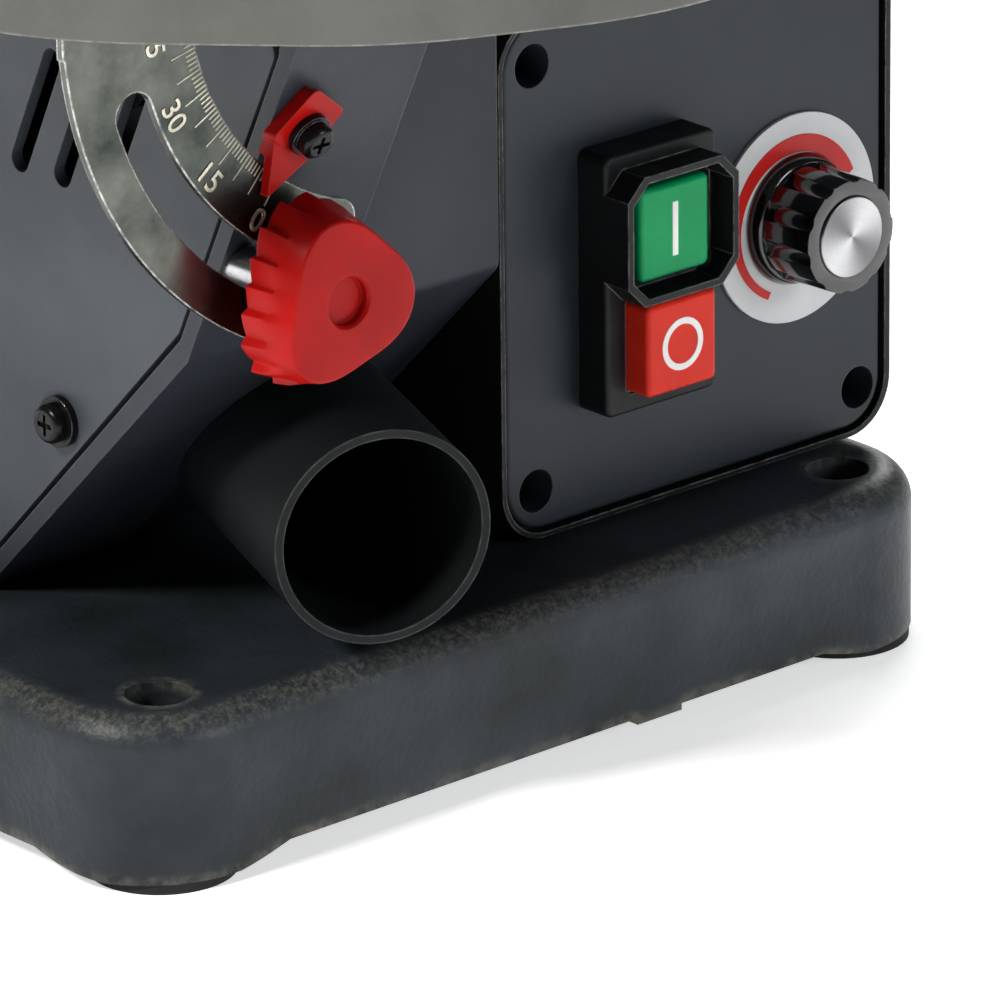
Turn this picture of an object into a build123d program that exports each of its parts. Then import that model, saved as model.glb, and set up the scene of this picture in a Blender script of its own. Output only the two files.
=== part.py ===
from build123d import *
import math
import os

# Benchtop scroll saw. Millimetres. +X to the operator's right, +Y from the operator to the rear, +Z up.
# The origin is the middle of the four bench bolts, on the surface that the feet stand on.

# Base
bolt_spacing_x = 181.0
bolt_spacing_y = 500.0
bolt_hole_r = 6.6
base_width = 220.0
base_overhang_y = 16.0
base_corner_r = 24.0
base_top_z = 39.0
skirt_z = 8.0
foot_r = 14.8
ground_z = 3.0                       # heights here start 3 mm under the bench top; parts are lowered at the end
foot_top_z = 5.0
front = -bolt_spacing_y / 2          # Y of the front bolts: most places are given rearward of it
rear = bolt_spacing_y / 2 + base_overhang_y

# Blade, arms and drive
blade_x = -46.0
blade_y = front + 40.0
arm_pivot_y = front + 465.0
lower_arm_z = 134.0
upper_arm_z = 306.0
arm_half_width = 8.0
pivot_pin_r = 5.0
bush_r = 8.0
pin_play = 0.05
clamp_pin_r = 2.0
tension_rod_y = arm_pivot_y + 35.0
blade_bottom_z = 143.0
blade_length = 133.0
drive_y = front + 188.0
drive_z = 82.0
crank_throw = 6.5

# Housing
wall = 4.0
housing_left = -80.0
nose_right = -44.2
housing_right = 6.5
nose_tip_z = 103.4
housing_top_z = 179.0
rear_step = 21.0                     # the housing's top steps down here, to clear the tilted table's rear rim
nose_slope = 0.48                    # forward lean of the nose for each millimetre of height
nose_tip_y = front + 1.7
flank_front_y = front + 9.0
flank_bottom_z = 100.5
rim_width = 4.5
column_front_y = front + 440.0
column_left = -72.0
column_right = -20.0
column_top_z = 336.0

# Table and its tilt
tilt_z = 188.2
table_half_width = 116.0
table_front_y = front - 111.0
table_rear_y = front + 298.0
table_rim_z = 193.2
table_underside_z = 210.0
table_top_z = 216.0
insert_r = 29.0
rib_depth = 2.5
scale_front_y = front - 23.2
scale_thickness = 1.8
scale_inner_r = 52.2
scale_outer_r = 82.4
slot_r = 69.4
slot_width = 8.8
slot_start = 198.6
slot_end = 248.5
pointer_angle = 233.6
pointer_thickness = 3.2
stud_angle = 245.2
stud_r = 4.0
stud_end_y = front - 5.4             # the stud ends in the nose wall, short of the side cover
stud_x = blade_x + slot_r * math.cos(math.radians(stud_angle))
stud_z = tilt_z + slot_r * math.sin(math.radians(stud_angle))

# Hold-down, stored raised so that the table can tilt under it
hold_down_y = front + 7.0
hold_down_r = 4.0
foot_z = 243.0

# Control box
panel_left = 9.0
panel_right = 112.2
panel_bottom = 42.0
panel_top = 148.6
panel_front_y = front + 10.0
panel_screw_inset = 7.6
box_depth = 84.0
switch_x = 43.4
switch_width = 30.0
switch_bottom = 64.5
switch_top = 119.5
switch_front_y = panel_front_y - 8.3
start_z = 102.6
stop_z = 78.8
button_width = 18.8
button_height = 19.4
start_face_y = panel_front_y - 12.4
stop_face_y = panel_front_y - 14.4
dial_x = 87.4
dial_z = 91.6
dial_r = 22.1
knob_r = 12.2
cord_gland_x = 84.0
cord_gland_z = 134.0

# Motor
motor_r = 38.0
motor_right = 100.0
shaft_r = 5.0

# Dust outlet
dust_r = 22.2
dust_wall = 1.8
dust_length = 84.0
dust_mouth = (-50.0, front - 20.0, 66.0)
dust_heading = (0.354, 0.934, 0.04)


def block(x0, x1, y0, y1, z0, z1):
    return Pos((x0 + x1) / 2, (y0 + y1) / 2, (z0 + z1) / 2) * Box(x1 - x0, y1 - y0, z1 - z0)


def rod_x(x0, x1, y, z, r):
    return Pos((x0 + x1) / 2, y, z) * Rot(0, 90, 0) * Cylinder(r, x1 - x0)


def rod_y(x, y0, y1, z, r):
    return Pos(x, (y0 + y1) / 2, z) * Rot(90, 0, 0) * Cylinder(r, y1 - y0)


def rod_z(x, y, z0, z1, r):
    return Pos(x, y, (z0 + z1) / 2) * Cylinder(r, z1 - z0)


def outline(points, radius=0.0):
    face = make_face(Polyline(*points, close=True))
    return fillet(face.vertices(), radius) if radius else face


def side_slab(points, x0, x1, radius=0.0):
    # a (Y, Z) outline carried along X
    plane = Plane(origin=(x0, 0, 0), x_dir=(0, 1, 0), z_dir=(1, 0, 0))
    return extrude(plane.location * outline(points, radius), x1 - x0)


def front_slab(face, y0, y1):
    # a face drawn in (X, Z) carried along Y
    plane = Plane(origin=(0, y1, 0), x_dir=(1, 0, 0), z_dir=(0, -1, 0))
    return extrude(plane.location * face, y1 - y0)


def flat_slab(face, z0, z1):
    return extrude(Pos(0, 0, z0) * face, z1 - z0)


def front_rectangle(x0, x1, z0, z1, radius):
    return Pos((x0 + x1) / 2, (z0 + z1) / 2) * RectangleRounded(x1 - x0, z1 - z0, radius)


def sector(x, z, inner, outer, start, end):
    # ring sector in (X, Z), angles in degrees from +X towards +Z
    middle = (start + end) / 2
    points = []
    for radius, angles in ((outer, (start, middle, end)), (inner, (end, middle, start))):
        points.append([(x + radius * math.cos(math.radians(a)), z + radius * math.sin(math.radians(a)))
                       for a in angles])
    outside = ThreePointArc(*points[0])
    inside = ThreePointArc(*points[1])
    return make_face(outside + Line(points[0][2], points[1][0]) + inside + Line(points[1][2], points[0][0]))


def nose_y(z):
    return nose_tip_y - nose_slope * (z - nose_tip_z)


def bolt_points():
    return [(sx * bolt_spacing_x / 2, sy * bolt_spacing_y / 2) for sx in (-1, 1) for sy in (-1, 1)]


# ---------------------------------------------------------------- base

def base_casting():
    length = bolt_spacing_y + 2 * base_overhang_y
    body = flat_slab(RectangleRounded(base_width, length, base_corner_r), skirt_z, base_top_z)
    body = fillet(body.edges().group_by(Axis.Z)[-1], 7.0)
    lobe_height = skirt_z + 1 - foot_top_z
    lobes = Part() + [Pos(x, y, foot_top_z + lobe_height / 2) * Cone(foot_r + 2.5, foot_r + 12.5, lobe_height)
                      for x, y in bolt_points()]
    lobes = lobes & flat_slab(RectangleRounded(base_width, length, base_corner_r), 0, base_top_z)
    inside = flat_slab(RectangleRounded(base_width - 12, length - 12, base_corner_r - 6), 0, base_top_z - 6)
    bosses = Part() + [rod_z(x, y, foot_top_z, base_top_z - 3, 13.0) for x, y in bolt_points()]
    lug = block(20, 32, -length / 2, -length / 2 + 6, skirt_z - 1.4, skirt_z + 1)
    body = (body + lobes + lug) - inside + bosses
    ribs = [block(-base_width / 2 + 3, base_width / 2 - 3, y - 2, y + 2, 18, base_top_z - 3)
            for y in (-150.0, 0.0, 150.0)]
    body = body + ribs
    for x, y in bolt_points():
        body -= rod_z(x, y, 0, base_top_z + 1, bolt_hole_r)
    return body


def rubber_feet():
    return [rod_z(x, y, ground_z, foot_top_z, foot_r) - rod_z(x, y, ground_z - 1, foot_top_z + 1, bolt_hole_r)
            for x, y in bolt_points()]


# ---------------------------------------------------------------- housing

def housing_profile(inset):
    # side view of the left housing; inset moves every edge inward
    low = nose_tip_z + inset * 1.2
    high = housing_top_z - inset
    bottom = base_top_z + inset
    lean = inset * 1.1
    return [(nose_y(low) + lean, low), (nose_y(high) + lean, high), (front + 262, high),
            (front + 280, high - rear_step), (column_front_y - inset, high - rear_step), (column_front_y - inset, bottom),
            (nose_tip_y + (nose_tip_z - base_top_z) + inset * 0.4, bottom)]


def flank_profile(inset):
    high = housing_top_z - inset
    bottom = base_top_z + inset
    low = flank_bottom_z + inset * 0.4
    end = front + 262 - inset
    return [(flank_front_y + inset, low), (flank_front_y + inset, high), (end, high), (end, bottom),
            (flank_front_y + (flank_bottom_z - base_top_z) + inset * 0.4, bottom)]


def cover_post(y, z):
    # screw post behind the cover, with a web to the nearest wall
    x0 = housing_left + 3.2
    x1 = blade_x - 14
    web_up = z > 120
    low, high = (z, housing_top_z) if web_up else (base_top_z, z)
    web = block(x0, x1, y - 2, y + 2, low, high)
    return rod_x(x0, x1, y, z, 5.0) + web


def lower_housing():
    divider = -11.0
    body = side_slab(housing_profile(0), housing_left, nose_right, 4.0)
    body += side_slab(flank_profile(0), nose_right - 6, housing_right, 4.0)
    body += block(nose_right - 6, divider, front + 250, column_front_y, base_top_z,
                  housing_top_z - rear_step)
    body -= side_slab(housing_profile(wall), housing_left - 1, nose_right - wall)
    body -= side_slab(flank_profile(wall), nose_right - wall - 0.5, divider - wall)
    body -= block(nose_right - wall - 0.5, divider - wall, front + 240, column_front_y - wall,
                  base_top_z + wall, housing_top_z - rear_step - wall)
    body -= side_slab(flank_profile(wall), divider, housing_right - wall)
    body -= block(divider, housing_right - wall, front + 90, front + 250, base_top_z - 1, base_top_z + wall + 1)
    rebate = outline(housing_profile(rim_width - 1.0), 3.0)
    plane = Plane(origin=(housing_left - 1, 0, 0), x_dir=(0, 1, 0), z_dir=(1, 0, 0))
    body -= extrude(plane.location * rebate, 4.0)
    # openings: blade, drive shaft, lower arm, air to the motor side
    body -= block(blade_x - 13, blade_x + 13, front + 14, front + 78, housing_top_z - 10, housing_top_z + 1)
    body -= rod_x(divider - wall - 1, housing_right + 1, drive_y, drive_z, shaft_r + 4)
    body -= block(blade_x - 14, blade_x + 14, column_front_y - 6, column_front_y + 1, 108, 156)
    inside = side_slab(housing_profile(1.0), housing_left, nose_right + 2)
    for y, z in cover_screw_points():
        body += cover_post(y, z) & inside
        body -= rod_x(housing_left - 1, housing_left + 18, y, z, 2.0)
    # boss and bore for the clamp stud
    boss = rod_y(stud_x + 0.8, front - 16, front + 16, stud_z, 9.0)
    boss = boss & block(housing_left + 4.5, nose_right, nose_y(stud_z) + 0.5, front + 20, 90, 150)
    body += boss
    body -= rod_y(stud_x, front - 40, stud_end_y, stud_z, stud_r)
    # mouth of the dust duct
    body -= dust_tube(dust_r, 30.0, 86.0)
    return body


def cover_screw_points():
    return [(front + 40.4, 81.6), (front + 160.0, 56.0), (front + 330.0, 56.0), (front + 415.0, 146.0),
            (front + 245.0, 156.0)]


def cover_profile():
    return outline(housing_profile(rim_width), 3.0)


def side_cover():
    plane = Plane(origin=(housing_left, 0, 0), x_dir=(0, 1, 0), z_dir=(1, 0, 0))
    body = extrude(plane.location * cover_profile(), 2.8)
    for y, z in cover_screw_points():
        body -= rod_x(housing_left - 1, housing_left + 4, y, z, 2.4)
    for slot in vent_slots():
        body -= slot
    return body


def vent_slots():
    # three leaning slots by the nose and a row of upright ones beside the motor
    slots = []
    places = [(front + 45.6 - 12.95 * step, 143.8, 25.3, 29.8) for step in range(3)]
    places += [(front + 160.0 + 14.0 * step, 118.0, 0.0, 40.0) for step in range(6)]
    for y, z, lean, length in places:
        slots.append(Pos(housing_left, y, z) * Rot(lean, 0, 0) * Rot(0, 90, 0)
                     * extrude(SlotOverall(length, 5.2), 10.0, both=True))
    return slots


def cover_screws():
    screws = []
    for y, z in cover_screw_points():
        head = rod_x(housing_left - 4.4, housing_left - 1.6, y, z, 4.0)
        head = fillet(head.edges().group_by(Axis.X)[0], 1.4)
        head -= block(housing_left - 5, housing_left - 3.4, y - 2.2, y + 2.2, z - 0.5, z + 0.5)
        head -= block(housing_left - 5, housing_left - 3.4, y - 0.5, y + 0.5, z - 2.2, z + 2.2)
        screws.append(head + rod_x(housing_left - 1.6, housing_left + 16, y, z, 1.95))
    return screws


def cover_washers():
    washers = []
    for y, z in cover_screw_points():
        washers.append(rod_x(housing_left - 1.6, housing_left, y, z, 5.2)
                       - rod_x(housing_left - 2, housing_left + 1, y, z, 2.2))
    return washers


# ---------------------------------------------------------------- rear column and upper housing

def rear_column():
    body = block(column_left, column_right, column_front_y, rear, base_top_z, column_top_z)
    body = fillet(body.edges().filter_by(Axis.Z), 8.0)
    body -= block(column_left + 5, column_right - 5, column_front_y + 5, rear - 5, base_top_z - 1, column_top_z - 5)
    body -= block(blade_x - 14, blade_x + 14, column_front_y - 1, column_front_y + 6, 108, 160)
    body -= block(column_left + 7, column_right - 7, column_front_y - 1, column_front_y + 6, 288, column_top_z - 6)
    for z in (lower_arm_z, upper_arm_z):
        body += rod_x(column_left + 4, column_left + 14, arm_pivot_y, z, 12)
        body += rod_x(column_right - 14, column_right - 4, arm_pivot_y, z, 12)
        body -= rod_x(column_left - 1, column_right + 1, arm_pivot_y, z, pivot_pin_r)
    body -= rod_z(blade_x, tension_rod_y, column_top_z - 6, column_top_z + 1, 6.0)
    return body


def column_bolts():
    bolts = []
    for z in (60.0, 92.0):
        for x in (column_left, column_right):
            sign = -1 if x == column_left else 1
            head = Pos(x + sign * 2.5, column_front_y + 24, z) * Rot(0, 90, 0)
            bolts.append(head * extrude(RegularPolygon(6.5, 6), 2.5, both=True))
    return bolts


def arm_pivot_pins():
    pins = []
    for z in (lower_arm_z, upper_arm_z):
        pin = rod_x(column_left - 0.5, column_right + 0.5, arm_pivot_y, z, pivot_pin_r)
        head = rod_x(column_left - 4.5, column_left, arm_pivot_y, z, 8.0)
        pins.append(pin + head)
    return pins


def upper_arm_housing():
    left = column_left
    right = column_right
    nose = front + 14.0
    low = 288.0
    shape = [(nose, low), (nose, 318), (nose + 26, column_top_z), (column_front_y, column_top_z),
             (column_front_y, low - 12), (column_front_y - 30, low)]
    body = side_slab(shape, left, right, 5.0)
    inner = [(nose + 4, low - 20), (nose + 4, 317), (nose + 28, column_top_z - 4),
             (column_front_y + 1, column_top_z - 4), (column_front_y + 1, low - 20)]
    body -= side_slab(inner, left + 4, right - 4)
    # boss that guides the hold-down rod
    boss = block(blade_x - 9, blade_x + 9, nose - 14, nose + 1, low, 318)
    body += fillet(boss.edges().filter_by(Axis.Z).group_by(Axis.Y)[0], 6.0)
    body -= rod_z(blade_x, hold_down_y, low - 1, 319, hold_down_r + pin_play)
    body -= rod_y(blade_x, nose - 20, hold_down_y, 303.0, 2.6)
    return body


def hold_down_rod():
    return rod_z(blade_x, hold_down_y, foot_z, foot_z + 116, hold_down_r)


def hold_down_foot():
    # forked foot that comes down beside the blade
    hub = rod_z(blade_x, hold_down_y, foot_z, foot_z + 12, 8.0)
    arm_bar = block(blade_x - 6, blade_x + 6, hold_down_y, blade_y - 12, foot_z + 2, foot_z + 7)
    left = block(blade_x - 10, blade_x - 3, blade_y - 16, blade_y + 10, foot_z - 1, foot_z + 3)
    right = block(blade_x + 3, blade_x + 10, blade_y - 16, blade_y + 10, foot_z - 1, foot_z + 3)
    bridge = block(blade_x - 10, blade_x + 10, blade_y - 18, blade_y - 10, foot_z - 1, foot_z + 7)
    body = hub + arm_bar + left + right + bridge
    return body - rod_z(blade_x, hold_down_y, foot_z - 4, foot_z + 20, hold_down_r)


def hold_down_knob():
    y1 = front - 0.4
    grip = rod_y(blade_x, y1 - 14, y1 - 4, 303.0, 11.0)
    for step in range(6):
        angle = math.radians(60 * step)
        grip -= rod_y(blade_x + 14 * math.cos(angle), y1 - 15, y1 - 3, 303.0 + 14 * math.sin(angle), 5.0)
    return grip + rod_y(blade_x, y1 - 4, y1, 303.0, 6.0) + rod_y(blade_x, y1, hold_down_y - 4.3, 303.0, 2.5)


# ---------------------------------------------------------------- arms, blade and drive

def arm(z, nose_low, nose_high):
    # beam with a forked front end, a pivot eye and a tail for the tension rod
    shape = [(blade_y - 7, nose_low), (blade_y - 7, nose_high), (blade_y + 40, z + 11), (arm_pivot_y, z + 12),
             (tension_rod_y + 9, z + 7), (tension_rod_y + 9, z - 7), (arm_pivot_y, z - 12), (blade_y + 40, z - 11)]
    body = side_slab(shape, blade_x - arm_half_width, blade_x + arm_half_width, 3.0)
    body += rod_x(blade_x - 11, blade_x + 11, arm_pivot_y, z, 14.0)
    body -= rod_x(blade_x - 12, blade_x + 12, arm_pivot_y, z, bush_r)
    body -= block(blade_x - 5.4, blade_x + 5.4, blade_y - 8, blade_y + 9, z - 40, z + 40)
    body -= rod_z(blade_x, tension_rod_y, z - 20, z + 20, 4.4)
    return body


def lower_arm():
    body = arm(lower_arm_z, lower_arm_z - 7, lower_arm_z + 7)
    body -= rod_x(blade_x - 9, blade_x + 9, blade_y, lower_arm_z, clamp_pin_r + 0.45)
    body += rod_x(blade_x + 7, blade_x + 16, drive_y, lower_arm_z, 4.0)
    return body


def upper_arm():
    body = arm(upper_arm_z, upper_arm_z - 22, upper_arm_z + 5)
    body -= rod_x(blade_x - 9, blade_x + 9, blade_y, 290.0, clamp_pin_r + 0.65)
    return body


def bush_pair(z):
    bushes = []
    for x0, x1 in ((blade_x - 11, blade_x - 1), (blade_x + 1, blade_x + 11)):
        bushes.append(rod_x(x0, x1, arm_pivot_y, z, bush_r)
                      - rod_x(x0 - 1, x1 + 1, arm_pivot_y, z, pivot_pin_r + pin_play))
    return bushes


def blade():
    strip = block(blade_x - 0.25, blade_x + 0.25, blade_y - 1.3, blade_y + 1.3,
                  blade_bottom_z, blade_bottom_z + blade_length)
    teeth = []
    for step in range(44):
        z = blade_bottom_z + 28 + 1.8 * step
        teeth.append((blade_y - 1.3, z))
        teeth.append((blade_y - 0.7, z + 0.5))
        teeth.append((blade_y - 1.3, z + 1.0))
    for step in range(0, len(teeth), 3):
        strip -= side_slab(teeth[step:step + 3] + [(blade_y - 1.6, teeth[step + 1][1])],
                           blade_x - 0.5, blade_x + 0.5)
    return strip


def blade_clamp(pin_z, low, high, jaw_low, jaw_high):
    body = block(blade_x - 5, blade_x + 5, blade_y - 5, blade_y + 5, low, high)
    body += rod_x(blade_x - 9.5, blade_x + 9.5, blade_y, pin_z, clamp_pin_r)
    body -= block(blade_x - 0.25, blade_x + 0.25, blade_y - 1.3, blade_y + 1.3, jaw_low, jaw_high)
    return body


def lower_blade_clamp():
    return blade_clamp(lower_arm_z, lower_arm_z - 5, lower_arm_z + 18, blade_bottom_z, lower_arm_z + 19)


def upper_blade_clamp():
    top = blade_bottom_z + blade_length
    return blade_clamp(290.0, 264.0, 295.0, 263.0, top)


def clamp_screw(z, reach):
    left = blade_x - 5 - reach
    return rod_x(left + 4, blade_x - 5, blade_y, z, 2.0) + rod_x(left, left + 5, blade_y, z, 5.5)


def tension_rod():
    low = lower_arm_z - 14.0
    high = upper_arm_z + 13.0
    rod = rod_z(blade_x, tension_rod_y, low, column_top_z + 15, 3.0)
    rod += rod_z(blade_x, tension_rod_y, lower_arm_z - 16, lower_arm_z - 9.5, 6.5)
    return rod + rod_z(blade_x, tension_rod_y, upper_arm_z + 9.5, high, 6.5)


def tension_knob():
    low = column_top_z + 4.0
    knob = rod_z(blade_x, tension_rod_y, low, low + 13, 13.0)
    for step in range(8):
        angle = math.radians(45 * step)
        knob -= rod_z(blade_x + 15.5 * math.cos(angle), tension_rod_y + 15.5 * math.sin(angle),
                      low - 1, low + 14, 4.0)
    return knob - rod_z(blade_x, tension_rod_y, low - 1, low + 12, 3.0 + pin_play)


def connecting_rod():
    x0 = blade_x + 9.0
    x1 = blade_x + 15.0
    pin_y = drive_y + crank_throw
    rod = rod_x(x0, x1, drive_y, lower_arm_z, 8.0) + rod_x(x0, x1, pin_y, drive_z, 8.5)
    web = [(drive_y - 5, lower_arm_z), (drive_y + 5, lower_arm_z), (pin_y + 5, drive_z), (pin_y - 5, drive_z)]
    rod += side_slab(web, x0, x1)
    rod -= rod_x(x0 - 1, x1 + 1, drive_y, lower_arm_z, 4.0 + pin_play)
    return rod - rod_x(x0 - 1, x1 + 1, pin_y, drive_z, 4.0)


def crank_disc():
    left = blade_x + 22.0
    disc = rod_x(left, left + 8, drive_y, drive_z, 17.0)
    disc += rod_x(blade_x + 15.3, left, drive_y + crank_throw, drive_z, 3.9)
    disc -= block(left - 1, left + 5, drive_y + 9, drive_y + 20, drive_z - 14, drive_z + 14)
    return disc - rod_x(left - 1, left + 9, drive_y, drive_z, shaft_r)


def motor_shaft():
    return rod_x(blade_x + 22, motor_right - 3, drive_y, drive_z, shaft_r)


def motor_can():
    body = rod_x(housing_right, motor_right - 14, drive_y, drive_z, motor_r)
    body -= rod_x(housing_right + 4, motor_right - 13, drive_y, drive_z, motor_r - 3)
    body -= rod_x(housing_right - 1, housing_right + 5, drive_y, drive_z, 11.0)
    return body


def motor_end_cap():
    x0 = motor_right - 14
    body = rod_x(x0, motor_right, drive_y, drive_z, motor_r)
    body = fillet(body.edges().group_by(Axis.X)[-1], 6.0)
    body -= rod_x(x0 - 1, motor_right - 5, drive_y, drive_z, motor_r - 4)
    body += rod_x(x0, motor_right - 4, drive_y, drive_z, 14.0)
    body -= rod_x(x0 - 1, motor_right - 2.5, drive_y, drive_z, 11.0)
    for step in range(12):
        body -= Pos(0, drive_y, drive_z) * Rot(30 * step, 0, 0) * block(
            motor_right - 8, motor_right + 1, 17, 30, -1.6, 1.6)
    return body


def motor_bearings():
    bearings = []
    for x0, x1 in ((housing_right, housing_right + 8), (motor_right - 13, motor_right - 5)):
        bearings.append(rod_x(x0, x1, drive_y, drive_z, 11.0)
                        - rod_x(x0 - 1, x1 + 1, drive_y, drive_z, shaft_r + pin_play))
    return bearings


def motor_rotor():
    return rod_x(22, 70, drive_y, drive_z, 18.0) - rod_x(21, 71, drive_y, drive_z, shaft_r)


def motor_stator():
    body = rod_x(24, 68, drive_y, drive_z, motor_r - 3)
    return body - rod_x(23, 69, drive_y, drive_z, 18.5)


# ---------------------------------------------------------------- table

def table_outline():
    half = [(60.0, table_front_y + 22), (104.0, table_front_y + 68), (table_half_width, table_front_y + 121),
            (table_half_width, table_rear_y - 30), (table_half_width - 30, table_rear_y)]
    points = [(blade_x + x, y) for x, y in half]
    points += [(blade_x - x, y) for x, y in reversed(half)]
    points.append((blade_x, table_front_y - 3))
    return make_face(Polyline(*points, close=True))


def rounded_table_face():
    face = table_outline()
    corners = face.vertices().sort_by(Axis.Y)
    face = fillet(corners[:7], 75.0)
    return fillet(face.vertices().sort_by(Axis.Y)[-4:], 40.0)


def table_top():
    face = rounded_table_face()
    body = flat_slab(face, table_rim_z, table_top_z)
    body = fillet(body.edges().group_by(Axis.Z)[-1], 1.5)
    body -= flat_slab(offset(face, -6.0), table_rim_z - 1, table_underside_z)
    ribs = [block(blade_x - 108, blade_x + 108, y - 2, y + 2, table_underside_z - rib_depth, table_underside_z + 1)
            for y in (front - 60, front + 90, front + 200, front + 260)]
    body += [rib & flat_slab(offset(face, -3.0), table_rim_z, table_top_z) for rib in ribs]
    body -= rod_z(blade_x + 8, blade_y, table_rim_z, table_top_z + 1, insert_r)
    body += rod_z(blade_x + 8, blade_y, table_underside_z, table_top_z - 2.4, insert_r + 1) - rod_z(
        blade_x + 8, blade_y, table_rim_z, table_top_z + 1, insert_r - 4)
    return body


def table_insert():
    # the blade's slot runs to the right, because the blade leans that way against a tilted table
    disc = rod_z(blade_x + 8, blade_y, table_top_z - 2.4, table_top_z, insert_r - 0.2)
    slot = block(blade_x - 3.0, blade_x + 32.5, blade_y - 2.6, blade_y + 2.6, table_top_z - 5, table_top_z + 1)
    return disc - slot


def lug_places():
    return [(front - 16.0, front - 4.0), (front + 226.0, front + 238.0)]


def table_lugs():
    lugs = []
    for y0, y1 in lug_places():
        shape = Pos(blade_x, tilt_z) * Circle(6.6) + front_rectangle(
            blade_x - 6.6, blade_x + 6.6, tilt_z, table_underside_z, 0.01)
        foot = block(blade_x - 20, blade_x + 20, y0, y1, table_underside_z - 3, table_underside_z)
        lug = front_slab(shape, y0, y1) + foot
        lugs.append(lug - rod_y(blade_x, y0 - 1, y1 + 1, tilt_z, 4.0 + pin_play))
    return lugs


def table_screws():
    screws = []
    for y0, y1 in lug_places():
        for side in (-14, 14):
            place = Pos(blade_x + side, (y0 + y1) / 2, table_underside_z - 7)
            screws.append(place * extrude(RegularPolygon(4.6, 6), 4.0))
    for x in (blade_x - scale_outer_r + 7, blade_x - scale_inner_r - 7):
        screws.append(rod_z(x, scale_front_y + 10, table_underside_z - 4.6,
                            table_underside_z - scale_thickness, 3.6))
    return screws


def tilt_brackets():
    # each pair of ears stands on the housing and holds the pin on both sides of the table's lug
    brackets = []
    for y0, y1 in lug_places():
        parts = []
        for e0, e1 in ((y0 - 5.4, y0 - 0.4), (y1 + 0.4, y1 + 5.4)):
            shape = Pos(blade_x, tilt_z) * Circle(6.5) + front_rectangle(
                blade_x - 6.5, blade_x + 6.5, housing_top_z, tilt_z, 0.01)
            parts.append(front_slab(shape, e0, e1))
        foot = block(blade_x - 16, blade_x + 16, y0 - 5.4, y1 + 5.4, housing_top_z, housing_top_z + 1.8)
        brackets.append(foot + parts - rod_y(blade_x, y0 - 9, y1 + 9, tilt_z, 4.0))
    return brackets


def tilt_pins():
    return [rod_y(blade_x, y0 - 5.4, y1 + 5.4, tilt_z, 4.0) for y0, y1 in lug_places()]


def tilt_scale():
    y0 = scale_front_y
    y1 = scale_front_y + scale_thickness
    plate = sector(blade_x, tilt_z, scale_inner_r, scale_outer_r, 183.0, 257.0)
    plate = fillet(plate.vertices().group_by(Axis.X)[-1], 4.0)
    tab = front_rectangle(blade_x - scale_outer_r, blade_x - scale_inner_r, tilt_z - 8, table_underside_z, 0.01)
    slot = sector(blade_x, tilt_z, slot_r - slot_width / 2, slot_r + slot_width / 2, slot_start, slot_end)
    ends = [Pos(blade_x + slot_r * math.cos(math.radians(a)), tilt_z + slot_r * math.sin(math.radians(a)))
            * Circle(slot_width / 2) for a in (slot_start, slot_end)]
    body = front_slab(plate, y0, y1) + front_slab(tab, y0, y1)
    body -= front_slab(slot, y0 - 1, y1 + 1)
    for end in ends:
        body -= front_slab(end, y0 - 1, y1 + 1)
    flange = block(blade_x - scale_outer_r, blade_x - scale_inner_r, y0, y0 + 16,
                   table_underside_z - scale_thickness, table_underside_z)
    return body + flange


# ---------------------------------------------------------------- tilt pointer and clamp


def pointer_place():
    # middle of the pointer's body on the leaning face of the nose
    return blade_x - 27.0, 156.5


def pointer_base():
    # frame on the leaning face of the nose, its local -Y pointing out of the face
    z = pointer_place()[1]
    return Pos(0, nose_y(z), z) * Rot(math.degrees(math.atan(nose_slope)), 0, 0)


def pointer():
    x, z = pointer_place()
    direction = math.radians(pointer_angle)
    along = (math.cos(direction), math.sin(direction))

    def drawn(points, radius=0.0):
        return outline([(x + along[0] * a - along[1] * c, z + along[1] * a + along[0] * c)
                        for a, c in points], radius)

    body_face = drawn([(-6, -6), (6, -6.5), (6, 6.5), (-6, 6)], 1.5)
    neck_face = drawn([(5.5, -5), (8.5, -3.5), (8.5, 3.5), (5.5, 5)])
    tip_face = drawn([(5.5, -5), (15.5, 0.0), (5.5, 5)])
    plate = pointer_base() * Pos(x, -pointer_thickness / 2, 0) * Box(60, pointer_thickness, 60)
    behind = pointer_base() * Pos(x, 30.0, 0) * Box(80, 60, 80)
    tip_y = scale_front_y - 0.4
    body = front_slab(body_face, front - 40, front + 10) & plate
    body += front_slab(neck_face, tip_y - 2.2, nose_y(z) + 8) - behind
    body += front_slab(tip_face, tip_y - 2.2, tip_y)
    return body - pointer_base() * Pos(x, 0, 0) * Rot(90, 0, 0) * Cylinder(2.2, 30)


def pointer_screw():
    x = pointer_place()[0]
    base = pointer_base() * Pos(x, -pointer_thickness, 0) * Rot(90, 0, 0)
    head = Pos(0, 0, 3.0) * Cylinder(3.6, 3.0)
    head = fillet(head.edges().group_by(Axis.Z)[-1], 1.2)
    head -= Pos(0, 0, 4.2) * Box(4.2, 1.0, 2.0)
    head -= Pos(0, 0, 4.2) * Box(1.0, 4.2, 2.0)
    washer = Pos(0, 0, 0.75) * Cylinder(4.4, 1.5)
    return base * (head + washer)


def clamp_stud():
    return rod_y(stud_x, scale_front_y - 15, stud_end_y, stud_z, stud_r)


def clamp_washer():
    y1 = scale_front_y - 0.3
    return rod_y(stud_x, y1 - 2.6, y1, stud_z, 9.8) - rod_y(stud_x, y1 - 4, y1 + 1, stud_z, 4.3)


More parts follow.
